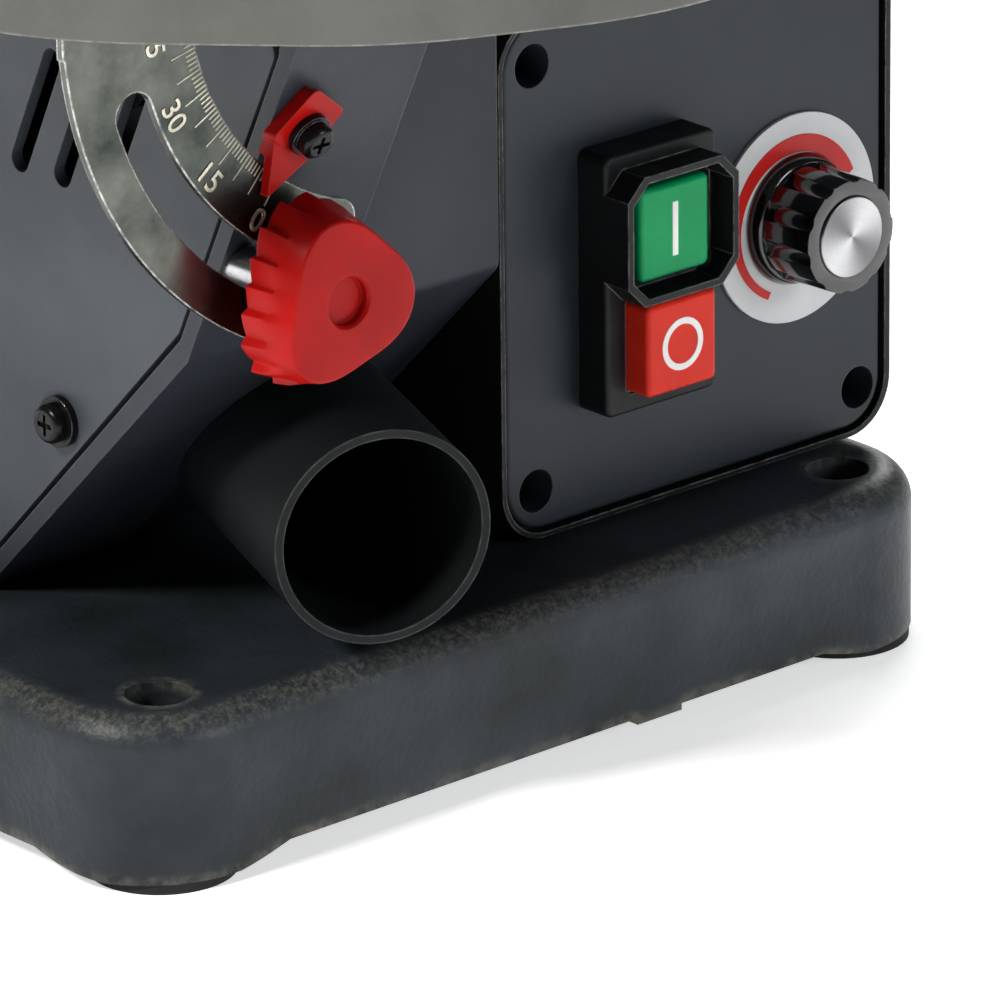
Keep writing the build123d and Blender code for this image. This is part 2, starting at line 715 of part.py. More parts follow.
def knob_section(scale, teeth):
    # rounded three-lobed outline, with fine saw-like flutes towards the rear
    points = []
    count = 114
    for step in range(count):
        angle = 2 * math.pi * step / count
        radius = 15.9 + 1.7 * math.cos(3 * (angle + math.radians(13)))
        radius += teeth * (0.5 - (step % 6) / 5.0)
        points.append((stud_x + scale * radius * math.cos(angle), stud_z + scale * radius * math.sin(angle)))
    return make_face(Polyline(*points, close=True)) if teeth else make_face(Spline(*points, periodic=True))


def clamp_knob():
    rear_y = scale_front_y - 5.4
    middle_y = rear_y - 5.0
    front_y = rear_y - 12.0
    body = front_slab(knob_section(1.0, 1.6), middle_y, rear_y)
    body += front_slab(knob_section(0.94, 0.0), front_y, middle_y)
    hub = rod_y(stud_x, rear_y, scale_front_y - 3.2, stud_z, 8.0)
    body += hub
    body -= rod_y(stud_x, scale_front_y - 15.5, scale_front_y, stud_z, stud_r + pin_play)
    bore = rod_y(stud_x, front_y - 1, scale_front_y - 14, stud_z, 4.75)
    return body - bore


# ---------------------------------------------------------------- dust port


def dust_tube(radius, start, end):
    plane = Plane(origin=dust_mouth, z_dir=dust_heading)
    return extrude(plane.offset(start).location * Circle(radius), end - start)


def dust_port():
    return dust_tube(dust_r, 0.0, dust_length) - dust_tube(dust_r - dust_wall, -1.0, dust_length + 1)


# ---------------------------------------------------------------- control box

def control_box():
    y0 = panel_front_y - 0.6
    outer = front_rectangle(panel_left - 1.8, panel_right + 2.2, panel_bottom - 1.8, panel_top + 1.8, 11.5)
    inner = front_rectangle(panel_left + 1.2, panel_right - 0.8, panel_bottom + 1.2, panel_top - 1.2, 7.5)
    seat = front_rectangle(panel_left - 0.7, panel_right + 0.7, panel_bottom - 0.7, panel_top + 0.7, 10.5)
    body = front_slab(outer, y0, y0 + box_depth)
    body -= front_slab(inner, y0 - 1, y0 + box_depth - 3)
    body -= front_slab(seat, y0 - 1, panel_front_y + 3)
    for x, z in panel_screw_points():
        body += rod_y(x, panel_front_y + 14, y0 + box_depth - 2, z, 5.0)
    body -= rod_y(cord_gland_x, y0 + box_depth - 8, y0 + box_depth + 1, cord_gland_z, 6.5)
    return body


def cord_gland():
    y0 = panel_front_y - 0.6 + box_depth
    body = rod_y(cord_gland_x, y0 - 8, y0, cord_gland_z, 6.5) + rod_y(cord_gland_x, y0, y0 + 4, cord_gland_z, 10.0)
    body += rod_y(cord_gland_x, y0 + 4, y0 + 12, cord_gland_z, 7.5)
    return body - rod_y(cord_gland_x, y0 - 9, y0 + 13, cord_gland_z, 3.6)


def panel_screw_points():
    return [(x, z) for x in (panel_left + panel_screw_inset, panel_right - 6.5)
            for z in (panel_bottom + 8.3, panel_top - 9.1)]


def control_panel():
    face = front_rectangle(panel_left, panel_right, panel_bottom, panel_top, 10.0)
    body = front_slab(face, panel_front_y, panel_front_y + 3)
    body = fillet(body.edges().group_by(Axis.Y)[0], 1.0)
    for x, z in panel_screw_points():
        body += rod_y(x, panel_front_y + 2, panel_front_y + 14, z, 5.6)
        body -= rod_y(x, panel_front_y - 1, panel_front_y + 10, z, 4.5)
        body -= rod_y(x, panel_front_y, panel_front_y + 15, z, 2.0)
    body -= front_slab(front_rectangle(switch_x - 12, switch_x + 12, switch_bottom + 3, switch_top - 3, 2.0),
                       panel_front_y - 1, panel_front_y + 4)
    body -= rod_y(dial_x, panel_front_y - 1, panel_front_y + 4, dial_z, 5.0)
    return body


def panel_screws():
    screws = []
    for x, z in panel_screw_points():
        head = rod_y(x, panel_front_y + 7.2, panel_front_y + 10, z, 3.8)
        head -= block(x - 2.0, x + 2.0, panel_front_y + 7, panel_front_y + 8.4, z - 0.5, z + 0.5)
        head -= block(x - 0.5, x + 0.5, panel_front_y + 7, panel_front_y + 8.4, z - 2.0, z + 2.0)
        screws.append(head + rod_y(x, panel_front_y + 10, panel_front_y + 14, z, 1.95))
    return screws


def button_window(z, margin):
    return front_rectangle(switch_x - button_width / 2 - margin, switch_x + button_width / 2 + margin,
                           z - button_height / 2 - margin, z + button_height / 2 + margin, 1.5)


def switch_housing():
    y0 = switch_front_y
    face = front_rectangle(switch_x - switch_width / 2, switch_x + switch_width / 2, switch_bottom, switch_top, 2.0)
    body = front_slab(face, y0, panel_front_y)
    body = fillet(body.edges().group_by(Axis.Y)[0], 1.0)
    body += front_slab(front_rectangle(switch_x - 11.8, switch_x + 11.8, switch_bottom + 3.2, switch_top - 3.2, 1.5),
                       panel_front_y, panel_front_y + 26)
    middle = start_z
    low = middle - 13.6
    high = middle + 13.6
    side = switch_width / 2
    corners = [(-side, low + 4.5), (-side, high - 4.5), (-side + 4.5, high), (side - 4.5, high),
               (side, high - 4.5), (side, low + 4.5), (side - 4.5, low), (-side + 4.5, low)]
    body += front_slab(outline([(switch_x + x, z) for x, z in corners]), y0 - 6.7, y0 + 1)
    # the hood round the start button is a thin wall with a recess inside it
    inner = [(x * (side - 1.5) / side, middle + (z - middle) * 12.1 / 13.6) for x, z in corners]
    body -= front_slab(outline([(switch_x + x, z) for x, z in inner]), y0 - 8, y0 + 0.4)
    for z in (start_z, stop_z):
        body -= front_slab(button_window(z, 0.5), y0 - 8, panel_front_y + 12)
    return body


def button(z, face_y):
    body = front_slab(button_window(z, 0.0), face_y, face_y + 14)
    return fillet(body.edges().group_by(Axis.Y)[0], 1.2)


def start_button():
    return button(start_z, start_face_y)


def stop_button():
    return button(stop_z, stop_face_y)


def button_cap(z, face_y):
    # thin clear skin in front of the button
    body = front_slab(button_window(z, -0.6), face_y - 1.0, face_y)
    return fillet(body.edges().group_by(Axis.Y)[0], 0.6)


def speed_dial():
    ring = rod_y(dial_x, panel_front_y - 0.8, panel_front_y, dial_z, dial_r)
    return ring - rod_y(dial_x, panel_front_y - 2, panel_front_y + 1, dial_z, 5.0)


def speed_potentiometer():
    body = rod_y(dial_x, panel_front_y + 3, panel_front_y + 14, dial_z, 12.0)
    body += rod_y(dial_x, panel_front_y - 1.5, panel_front_y + 3, dial_z, 4.4)
    return body - rod_y(dial_x, panel_front_y - 3, panel_front_y + 10, dial_z, 3.0 + pin_play)


def potentiometer_spindle():
    return rod_y(dial_x, panel_front_y - 14, panel_front_y + 9.5, dial_z, 3.0)


def speed_knob():
    y1 = panel_front_y - 1.1
    y0 = panel_front_y - 17.0
    skirt = rod_y(dial_x, y1 - 3, y1, dial_z, knob_r + 1.8)
    body = rod_y(dial_x, y0, y1 - 3, dial_z, knob_r)
    for step in range(10):
        angle = math.radians(36 * step + 30)
        body -= rod_y(dial_x + (knob_r + 1.5) * math.cos(angle), y0 - 1, y1 - 3,
                      dial_z + (knob_r + 1.5) * math.sin(angle), 2.7)
    body += skirt
    body -= rod_y(dial_x, y0 - 1, y0 + 0.7, dial_z, 8.5)
    body -= rod_y(dial_x, y1 - 3.4, y1 + 1, dial_z, 5.4)
    return body - rod_y(dial_x, y1 - 12.9, y1 + 1, dial_z, 3.0)


def speed_knob_cap():
    y0 = panel_front_y - 17.0
    body = rod_y(dial_x, y0 - 0.5, y0 + 0.7, dial_z, 8.5)
    return fillet(body.edges().group_by(Axis.Y)[0], 0.4)


def speed_circuit_board():
    body = block(66, 108, panel_front_y + 16, panel_front_y + 17.6, 58, 130)
    for z in (66.0, 84.0, 104.0, 122.0):
        body += block(72, 84, panel_front_y + 17.6, panel_front_y + 27, z - 4, z + 4)
        body += rod_y(97, panel_front_y + 17.6, panel_front_y + 30, z, 4.5)
    return body


nodes = {
    "base_casting": base_casting,
    "rubber_feet": rubber_feet,
    "lower_housing": lower_housing,
    "side_cover": side_cover,
    "cover_screws": cover_screws,
    "cover_washers": cover_washers,
    "rear_column": rear_column,
    "column_bolts": column_bolts,
    "arm_pivot_pins": arm_pivot_pins,
    "upper_arm_housing": upper_arm_housing,
    "hold_down_rod": hold_down_rod,
    "hold_down_foot": hold_down_foot,
    "hold_down_knob": hold_down_knob,
    "lower_arm": lower_arm,
    "upper_arm": upper_arm,
    "lower_arm_bushes": lambda: bush_pair(lower_arm_z),
    "upper_arm_bushes": lambda: bush_pair(upper_arm_z),
    "blade": blade,
    "lower_blade_clamp": lower_blade_clamp,
    "upper_blade_clamp": upper_blade_clamp,
    "lower_clamp_screw": lambda: clamp_screw(lower_arm_z + 13, 11.0),
    "upper_clamp_screw": lambda: clamp_screw(270.0, 18.0),
    "tension_rod": tension_rod,
    "tension_knob": tension_knob,
    "connecting_rod": connecting_rod,
    "crank_disc": crank_disc,
    "motor_shaft": motor_shaft,
    "motor_can": motor_can,
    "motor_end_cap": motor_end_cap,
    "motor_bearings": motor_bearings,
    "motor_rotor": motor_rotor,
    "motor_stator": motor_stator,
    "table_top": table_top,
    "table_insert": table_insert,
    "table_lugs": table_lugs,
    "table_screws": table_screws,
    "tilt_brackets": tilt_brackets,
    "tilt_pins": tilt_pins,
    "tilt_scale": tilt_scale,
    "pointer": pointer,
    "pointer_screw": pointer_screw,
    "clamp_stud": clamp_stud,
    "clamp_washer": clamp_washer,
    "clamp_knob": clamp_knob,
    "dust_port": dust_port,
    "control_box": control_box,
    "control_panel": control_panel,
    "panel_screws": panel_screws,
    "switch_housing": switch_housing,
    "start_button": start_button,
    "stop_button": stop_button,
    "start_button_cap": lambda: button_cap(start_z, start_face_y),
    "stop_button_cap": lambda: button_cap(stop_z, stop_face_y),
    "speed_dial": speed_dial,
    "speed_potentiometer": speed_potentiometer,
    "potentiometer_spindle": potentiometer_spindle,
    "speed_knob": speed_knob,
    "speed_knob_cap": speed_knob_cap,
    "speed_circuit_board": speed_circuit_board,
    "cord_gland": cord_gland,
}

os.makedirs("parts", exist_ok=True)
for name, make in nodes.items():
    made = make()
    solids = made if isinstance(made, list) else [made]
    flat = [solid for piece in solids for solid in piece.solids()]
    flat = [Pos(0, 0, -ground_z) * solid for solid in flat]
    export_step(Compound(children=flat) if len(flat) > 1 else flat[0], f"parts/{name}.step")
print(len(nodes), "parts written")
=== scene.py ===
import math

import bmesh
import bpy
from mathutils import Matrix, Vector


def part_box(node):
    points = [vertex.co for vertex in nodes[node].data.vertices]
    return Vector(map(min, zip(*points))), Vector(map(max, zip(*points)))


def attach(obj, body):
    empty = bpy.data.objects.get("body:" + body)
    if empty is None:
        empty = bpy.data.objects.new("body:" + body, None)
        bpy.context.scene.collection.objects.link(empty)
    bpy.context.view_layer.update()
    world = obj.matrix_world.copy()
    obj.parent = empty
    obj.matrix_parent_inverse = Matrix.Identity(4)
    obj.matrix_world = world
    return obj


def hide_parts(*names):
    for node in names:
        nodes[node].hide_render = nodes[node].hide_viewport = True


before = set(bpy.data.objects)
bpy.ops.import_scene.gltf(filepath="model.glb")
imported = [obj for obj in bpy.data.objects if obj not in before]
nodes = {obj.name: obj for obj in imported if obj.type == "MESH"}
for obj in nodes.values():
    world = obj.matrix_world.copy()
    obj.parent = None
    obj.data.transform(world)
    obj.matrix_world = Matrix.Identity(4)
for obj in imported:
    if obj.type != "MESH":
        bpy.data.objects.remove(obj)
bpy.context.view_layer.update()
mm = 0.001  # every place and size is in metres

print("scroll saw: frame loaded")


# ---- camera, floor and lamps

cameraSetup = {
    "place": (-1.15831, -1.54968, 0.70215),
    "heading": 41.6604,  # degrees from +Y towards +X
    "lookingDown": 20.4659,
    "lean": -0.65687,
    "lens": 338.0,
    "sensor": 36.0,
    "farthest": 50,
}


def setCamera():
    heading, down, lean = (math.radians(cameraSetup[k]) for k in ("heading", "lookingDown", "lean"))
    forward = Vector((math.sin(heading) * math.cos(down), math.cos(heading) * math.cos(down), -math.sin(down)))
    level = Vector((math.cos(heading), -math.sin(heading), 0))
    above = level.cross(forward)
    right = level * math.cos(lean) + above * math.sin(lean)
    up = above * math.cos(lean) - level * math.sin(lean)
    bpy.ops.object.camera_add()
    camera = bpy.context.object
    camera.name = "studioCamera"
    turn = Matrix((right, up, -forward)).transposed().to_4x4()
    camera.matrix_world = Matrix.Translation(cameraSetup["place"]) @ turn
    camera.data.sensor_width = cameraSetup["sensor"]
    camera.data.lens = cameraSetup["lens"]
    camera.data.clip_end = cameraSetup["farthest"]
    bpy.context.scene.camera = camera


floorSetup = {"side": 14.0, "colour": (0.95, 0.95, 0.95, 1), "glow": 0.6, "roughness": 0.9}


def makeFloor():
    bpy.ops.mesh.primitive_plane_add(size=floorSetup["side"])
    floor = bpy.context.object
    floor.name = "studioFloor"
    paper = bpy.data.materials.new("floorPaper")
    paper.use_nodes = True
    shader = paper.node_tree.nodes["Principled BSDF"]
    shader.inputs["Base Color"].default_value = floorSetup["colour"]
    shader.inputs["Roughness"].default_value = floorSetup["roughness"]
    shader.inputs["Emission Color"].default_value = floorSetup["colour"]
    shader.inputs["Emission Strength"].default_value = floorSetup["glow"]
    floor.data.materials.append(paper)


lampSetup = {
    # name: (place, aimed at, size, power, colour)
    "keyLeft": ((-2.0, -0.1, 1.85), (-0.05, -0.2, 0.1), 0.5, 58.0, (1.0, 0.985, 0.96)),
    "frontSoft": ((0.75, -2.2, 0.75), (0.03, -0.2, 0.1), 0.6, 14.0, (0.93, 0.965, 1.0)),
    "topSoft": ((0.1, 0.5, 2.2), (0.0, 0.0, 0.1), 1.2, 46.0, (1.0, 1.0, 1.0)),
    "rearRim": ((1.5, 0.9, 0.9), (0.0, -0.1, 0.12), 0.8, 14.0, (1.0, 1.0, 1.0)),
}
skySetup = {"colour": (0.95, 0.97, 1.0, 1), "strength": 0.07}


def setLamps():
    for name, (place, target, size, power, colour) in lampSetup.items():
        bpy.ops.object.light_add(type="AREA", location=place)
        lamp = bpy.context.object
        lamp.name = name
        lamp.data.shape = "DISK"
        lamp.data.size = size
        lamp.data.energy = power
        lamp.data.color = colour
        lamp.rotation_euler = (Vector(target) - Vector(place)).to_track_quat("-Z", "Y").to_euler()
    world = bpy.data.worlds.new("studioSky")
    world.use_nodes = True
    background = world.node_tree.nodes["Background"]
    background.inputs["Color"].default_value = skySetup["colour"]
    background.inputs["Strength"].default_value = skySetup["strength"]
    bpy.context.scene.world = world


bpy.ops.object.select_all(action="DESELECT")
setCamera()
makeFloor()
setLamps()
bpy.context.scene.view_settings.view_transform = "Standard"
print("scroll saw: camera, floor and lamps")


# ---- finishes

def addNode(tree, kind, place=(0, 0), **settings):
    node = tree.nodes.new(kind)
    node.location = place
    for key, value in settings.items():
        setattr(node, key, value)
    return node


def noiseAt(tree, position, scale, detail=4.0, rough=0.55, place=(0, 0)):
    noise = addNode(tree, "ShaderNodeTexNoise", place)
    noise.inputs["Scale"].default_value = scale
    noise.inputs["Detail"].default_value = detail
    noise.inputs["Roughness"].default_value = rough
    tree.links.new(position, noise.inputs["Vector"])
    return noise.outputs["Fac"]


def spread(tree, value, low, high, toLow, toHigh, place=(0, 0)):
    ranger = addNode(tree, "ShaderNodeMapRange", place)
    for key, number in (("From Min", low), ("From Max", high), ("To Min", toLow), ("To Max", toHigh)):
        ranger.inputs[key].default_value = number
    tree.links.new(value, ranger.inputs["Value"])
    return ranger.outputs["Result"]


def blendColours(tree, factor, first, second, place=(0, 0)):
    mixer = addNode(tree, "ShaderNodeMix", place, data_type="RGBA")
    tree.links.new(factor, mixer.inputs[0])
    for slotIndex, colour in ((6, first), (7, second)):
        if isinstance(colour, tuple):
            mixer.inputs[slotIndex].default_value = (*colour, 1)
        else:
            tree.links.new(colour, mixer.inputs[slotIndex])
    return mixer.outputs[2]


def times(tree, first, second, place=(0, 0)):
    product = addNode(tree, "ShaderNodeMath", place, operation="MULTIPLY")
    for index, value in enumerate((first, second)):
        if isinstance(value, float):
            product.inputs[index].default_value = value
        else:
            tree.links.new(value, product.inputs[index])
    return product.outputs[0]


finishSetup = {
    "plainFace": 0.985, "fullEdgeMark": 0.86,  # how far the rounded surface may turn from the real one
    "bevelSamples": 4, "edgeMarkScale": 9, "leastEdgeMark": 0.15, "bumpStrength": 0.9, "softEdge": 0.5 * mm,
    "dustScale": 620, "shine": 0.22, "coatRoughness": 0.06,
}


def edgeMask(tree, radius):
    # edge marks, part rubbed wear and part painted edge highlight: where a rounded copy of the surface turns away from
    # the real one
    rounded = addNode(tree, "ShaderNodeBevel", (-1200, -600), samples=finishSetup["bevelSamples"])
    rounded.inputs["Radius"].default_value = radius
    facing = addNode(tree, "ShaderNodeNewGeometry", (-1200, -800)).outputs["Normal"]
    turning = addNode(tree, "ShaderNodeVectorMath", (-950, -700), operation="DOT_PRODUCT")
    tree.links.new(rounded.outputs["Normal"], turning.inputs[0])
    tree.links.new(facing, turning.inputs[1])
    return spread(tree, turning.outputs["Value"], finishSetup["plainFace"], finishSetup["fullEdgeMark"], 0.0, 1.0,
                  (-700, -650))


# tone and shade: the colour and its patches; patch and grain: noise scales; depth: height of the grain;
# gloss: roughness range; edge: width of the edge marks; rubAndHighlight and rubAndHighlightAmount: their colour and
# strength, part rubbed wear and part painted edge highlight;
# metal, coat and shine: the shader's own values; dust: pale dust specks on rounded upper edges, part painted highlight
finishLooks = {
    "castPaint": {"tone": (0.028, 0.035, 0.042), "shade": (0.008, 0.012, 0.013), "patch": 22, "grain": 620,
                  "depth": 0.00022, "gloss": (0.38, 0.6), "edge": 0.0045, "rubAndHighlight": (0.26, 0.24, 0.19), "rubAndHighlightAmount": 0.6,
                  "shine": 0.3, "dust": 0.6},
    "housingPaint": {"tone": (0.028, 0.031, 0.041), "shade": (0.018, 0.021, 0.028), "patch": 18, "grain": 1400,
                     "depth": 0.00005, "gloss": (0.36, 0.5), "edge": 0.0007, "rubAndHighlight": (0.20, 0.20, 0.21),
                     "rubAndHighlightAmount": 0.45},
    "coverPaint": {"tone": (0.052, 0.060, 0.070), "shade": (0.038, 0.045, 0.053), "patch": 20, "grain": 2200,
                   "depth": 0.00003, "gloss": (0.38, 0.5), "edge": 0.0004, "rubAndHighlight": (0.25, 0.25, 0.26),
                   "rubAndHighlightAmount": 0.4},
    "panelPlastic": {"tone": (0.022, 0.027, 0.034), "shade": (0.015, 0.019, 0.024), "patch": 9, "grain": 2600,
                     "depth": 0.00002, "gloss": (0.34, 0.46), "edge": 0.0005, "rubAndHighlight": (0.2, 0.2, 0.21),
                     "rubAndHighlightAmount": 0.3},
    "tableCoat": {"tone": (0.115, 0.115, 0.105), "shade": (0.085, 0.085, 0.077), "patch": 34, "grain": 1700,
                  "depth": 0.00004, "gloss": (0.34, 0.46), "edge": 0.0008, "rubAndHighlight": (0.5, 0.48, 0.44),
                  "rubAndHighlightAmount": 0.8, "metal": 0.1, "shine": 0.3},
    "castAluminium": {"tone": (0.50, 0.51, 0.52), "shade": (0.36, 0.37, 0.38), "patch": 60, "grain": 1500,
                      "depth": 0.00005, "gloss": (0.32, 0.5), "edge": 0.0006, "rubAndHighlight": (0.75, 0.75, 0.75),
                      "rubAndHighlightAmount": 0.5, "metal": 1.0},
    "turnedSteel": {"tone": (0.46, 0.46, 0.47), "shade": (0.33, 0.33, 0.34), "patch": 120, "grain": 2600,
                    "depth": 0.00001, "gloss": (0.2, 0.36), "edge": 0.0003, "rubAndHighlight": (0.8, 0.8, 0.8),
                    "rubAndHighlightAmount": 0.6, "metal": 1.0},
    # the near-white edge colour here is a painted highlight on the sheet's edges
    "platedSheet": {"tone": (0.12, 0.125, 0.11), "shade": (0.022, 0.029, 0.027), "patch": 48, "grain": 800,
                    "depth": 0.00001, "gloss": (0.16, 0.34), "edge": 0.0007, "rubAndHighlight": (1.0, 0.99, 0.97),
                    "rubAndHighlightAmount": 1.0, "metal": 1.0},
    "blackScrew": {"tone": (0.02, 0.02, 0.022), "shade": (0.011, 0.011, 0.012), "patch": 200, "grain": 2500,
                   "depth": 0.00002, "gloss": (0.18, 0.32), "edge": 0.0003, "rubAndHighlight": (0.30, 0.29, 0.28),
                   "rubAndHighlightAmount": 0.6, "metal": 0.7},
    "redPlastic": {"tone": (0.40, 0.004, 0.003), "shade": (0.30, 0.003, 0.002), "patch": 50, "grain": 1600,
                   "depth": 0.00003, "gloss": (0.3, 0.42), "edge": 0.0005, "shine": 0.12, "rubAndHighlight": (0.62, 0.05, 0.04),
                   "rubAndHighlightAmount": 0.5},
    # the pale edge colour here is mostly a painted highlight along the edges of the switch hood and box
    "blackPlastic": {"tone": (0.006, 0.0065, 0.0075), "shade": (0.004, 0.0045, 0.005), "patch": 40, "grain": 1500,
                     "depth": 0.00005, "gloss": (0.4, 0.56), "edge": 0.0005, "rubAndHighlight": (0.30, 0.30, 0.29),
                     "rubAndHighlightAmount": 1.0},
    "blackGloss": {"tone": (0.004, 0.004, 0.0045), "shade": (0.002, 0.002, 0.0025), "patch": 60, "grain": 900,
                   "depth": 0.00001, "gloss": (0.1, 0.16), "edge": 0.0004, "rubAndHighlight": (0.05, 0.05, 0.05),
                   "rubAndHighlightAmount": 0.4, "coat": 0.6, "shine": 0.5},
    "ductPlastic": {"tone": (0.005, 0.0065, 0.0075), "shade": (0.003, 0.004, 0.0045), "patch": 22, "grain": 1100,
                    "depth": 0.00007, "gloss": (0.46, 0.62), "edge": 0.0006, "rubAndHighlight": (0.16, 0.17, 0.17),
                    "rubAndHighlightAmount": 0.7},
    "footRubber": {"tone": (0.022, 0.022, 0.023), "shade": (0.014, 0.014, 0.015), "patch": 80, "grain": 1200,
                   "depth": 0.00006, "gloss": (0.6, 0.8), "edge": 0.0004, "rubAndHighlight": (0.06, 0.06, 0.06),
                   "rubAndHighlightAmount": 0.3},
    "greenCap": {"tone": (0.0, 0.30, 0.095), "shade": (0.0, 0.25, 0.078), "patch": 90, "grain": 1500,
                 "depth": 0.00001, "gloss": (0.2, 0.3), "edge": 0.0003, "shine": 0.12, "rubAndHighlight": (0.02, 0.36, 0.16),
                 "rubAndHighlightAmount": 0.3},
    "redCap": {"tone": (0.70, 0.028, 0.010), "shade": (0.60, 0.018, 0.007), "patch": 90, "grain": 1500,
               "depth": 0.00001, "gloss": (0.2, 0.3), "edge": 0.0003, "shine": 0.12, "rubAndHighlight": (0.75, 0.10, 0.05),
               "rubAndHighlightAmount": 0.3},
    "dialPrint": {"tone": (0.56, 0.565, 0.57), "shade": (0.50, 0.505, 0.51), "patch": 40, "grain": 1800,
                  "depth": 0.00001, "gloss": (0.36, 0.46), "edge": 0.0003, "rubAndHighlight": (0.7, 0.7, 0.7),
                  "rubAndHighlightAmount": 0.3},
    "redPrint": {"tone": (0.52, 0.012, 0.008), "shade": (0.46, 0.010, 0.007), "patch": 60, "grain": 1800,
                 "depth": 0.00001, "gloss": (0.36, 0.46), "edge": 0.0002, "rubAndHighlight": (0.55, 0.05, 0.05),
                 "rubAndHighlightAmount": 0.2},
    "whitePrint": {"tone": (0.86, 0.86, 0.84), "shade": (0.80, 0.80, 0.78), "patch": 60, "grain": 1800,
                   "depth": 0.00001, "gloss": (0.4, 0.5), "edge": 0.0002, "rubAndHighlight": (0.9, 0.9, 0.9),
                   "rubAndHighlightAmount": 0.2},
    # the bright edge colour of the ticks and numbers is a painted highlight
    "stampedMarks": {"tone": (0.62, 0.59, 0.47), "shade": (0.36, 0.34, 0.26), "patch": 200, "grain": 1800,
                     "depth": 0.00001, "gloss": (0.25, 0.4), "edge": 0.0002, "rubAndHighlight": (0.9, 0.88, 0.8),
                     "rubAndHighlightAmount": 1.0, "metal": 0.8},
    "sinteredBronze": {"tone": (0.45, 0.30, 0.12), "shade": (0.34, 0.22, 0.09), "patch": 150, "grain": 2400,
                       "depth": 0.00002, "gloss": (0.35, 0.5), "edge": 0.0003, "rubAndHighlight": (0.7, 0.5, 0.25),
                       "rubAndHighlightAmount": 0.5, "metal": 1.0},
    "copperWinding": {"tone": (0.42, 0.17, 0.07), "shade": (0.25, 0.10, 0.05), "patch": 250, "grain": 2000,
                      "depth": 0.00008, "gloss": (0.3, 0.5), "edge": 0.0004, "rubAndHighlight": (0.7, 0.35, 0.2),
                      "rubAndHighlightAmount": 0.4, "metal": 1.0},
    "circuitBoard": {"tone": (0.02, 0.12, 0.05), "shade": (0.012, 0.09, 0.036), "patch": 180, "grain": 1500,
                     "depth": 0.00002, "gloss": (0.3, 0.45), "edge": 0.0003, "rubAndHighlight": (0.2, 0.3, 0.2),
                     "rubAndHighlightAmount": 0.3},
}


def makeFinish(name, look):
    finish = bpy.data.materials.new(name)
    finish.use_nodes = True
    tree = finish.node_tree
    shader = tree.nodes["Principled BSDF"]
    place = addNode(tree, "ShaderNodeTexCoord", (-1500, 0)).outputs["Object"]
    patches = noiseAt(tree, place, look["patch"], 5.0, 0.6, (-1200, 200))
    grain = noiseAt(tree, place, look["grain"], 3.0, 0.5, (-1200, -250))
    patchShare = spread(tree, patches, 0.35, 0.65, 0.0, 1.0, (-950, 250))
    colour = blendColours(tree, patchShare, look["shade"], look["tone"], (-700, 250))
    edgeWearAndHighlight = edgeMask(tree, look["edge"])
    leastEdgeMark = 0.0 if "dust" in look else finishSetup["leastEdgeMark"]
    edgeMarkStrength = spread(tree, noiseAt(tree, place, look["patch"] * finishSetup["edgeMarkScale"], 4.0, 0.65, (-1200, 0)),
                    0.38, 0.62, leastEdgeMark, look["rubAndHighlightAmount"], (-950, 0))
    # edges blend towards the pale edge colour: partly rubbed wear, partly a painted edge highlight
    colour = blendColours(tree, times(tree, edgeWearAndHighlight, edgeMarkStrength, (-500, -400)), colour, look["rubAndHighlight"], (-350, 200))
    if "dust" in look:
        # pale dust specks along the rounded upper edges, where the surface leans between upright and level; this
        # upward-leaning band also carries a painted highlight, so the mark is part dust, part painted highlight
        parts = addNode(tree, "ShaderNodeSeparateXYZ", (-950, -1000))
        tree.links.new(addNode(tree, "ShaderNodeNewGeometry", (-1200, -1000)).outputs["Normal"], parts.inputs["Vector"])
        leaning = times(tree, spread(tree, parts.outputs["Z"], 0.25, 0.75, 0.0, 1.0, (-700, -1000)),
                        spread(tree, parts.outputs["Z"], 0.999, 0.93, 0.0, 1.0, (-700, -1200)), (-500, -1100))
        specks = spread(tree, noiseAt(tree, place, finishSetup["dustScale"], 9.0, 0.85, (-1200, -1300)),
                        0.45, 0.72, 0.0, look["dust"], (-700, -1400))
        colour = blendColours(tree, times(tree, leaning, specks, (-300, -1100)), colour, look["rubAndHighlight"], (-150, 200))
    tree.links.new(colour, shader.inputs["Base Color"])
    low, high = look["gloss"]
    tree.links.new(spread(tree, patches, 0.3, 0.7, high, low, (-350, -50)), shader.inputs["Roughness"])
    bump = addNode(tree, "ShaderNodeBump", (-350, -300))
    bump.inputs["Strength"].default_value = finishSetup["bumpStrength"]
    bump.inputs["Distance"].default_value = look["depth"]
    tree.links.new(grain, bump.inputs["Height"])
    softEdge = addNode(tree, "ShaderNodeBevel", (-700, -900), samples=finishSetup["bevelSamples"])
    softEdge.inputs["Radius"].default_value = min(look["edge"], finishSetup["softEdge"])
    tree.links.new(softEdge.outputs["Normal"], bump.inputs["Normal"])
    tree.links.new(bump.outputs["Normal"], shader.inputs["Normal"])
    shader.inputs["Metallic"].default_value = look.get("metal", 0.0)
    shader.inputs["Specular IOR Level"].default_value = look.get("shine", finishSetup["shine"])
    if "coat" in look:
        shader.inputs["Coat Weight"].default_value = look["coat"]
        shader.inputs["Coat Roughness"].default_value = finishSetup["coatRoughness"]
    return finish


finishes = {name: makeFinish(name, look) for name, look in finishLooks.items()}


clearLook = {
    "refraction": 1.45, "rim": 0.7 * mm, "thinnest": 0.025, "rimHighlightAlpha": 0.6, "hazeScale": 160,
    "gloss": (0.04, 0.14), "tint": (0.05, 0.055, 0.055), "hazeTint": (0.09, 0.095, 0.095),
    "rimHighlightColour": (0.62, 0.64, 0.64),
}


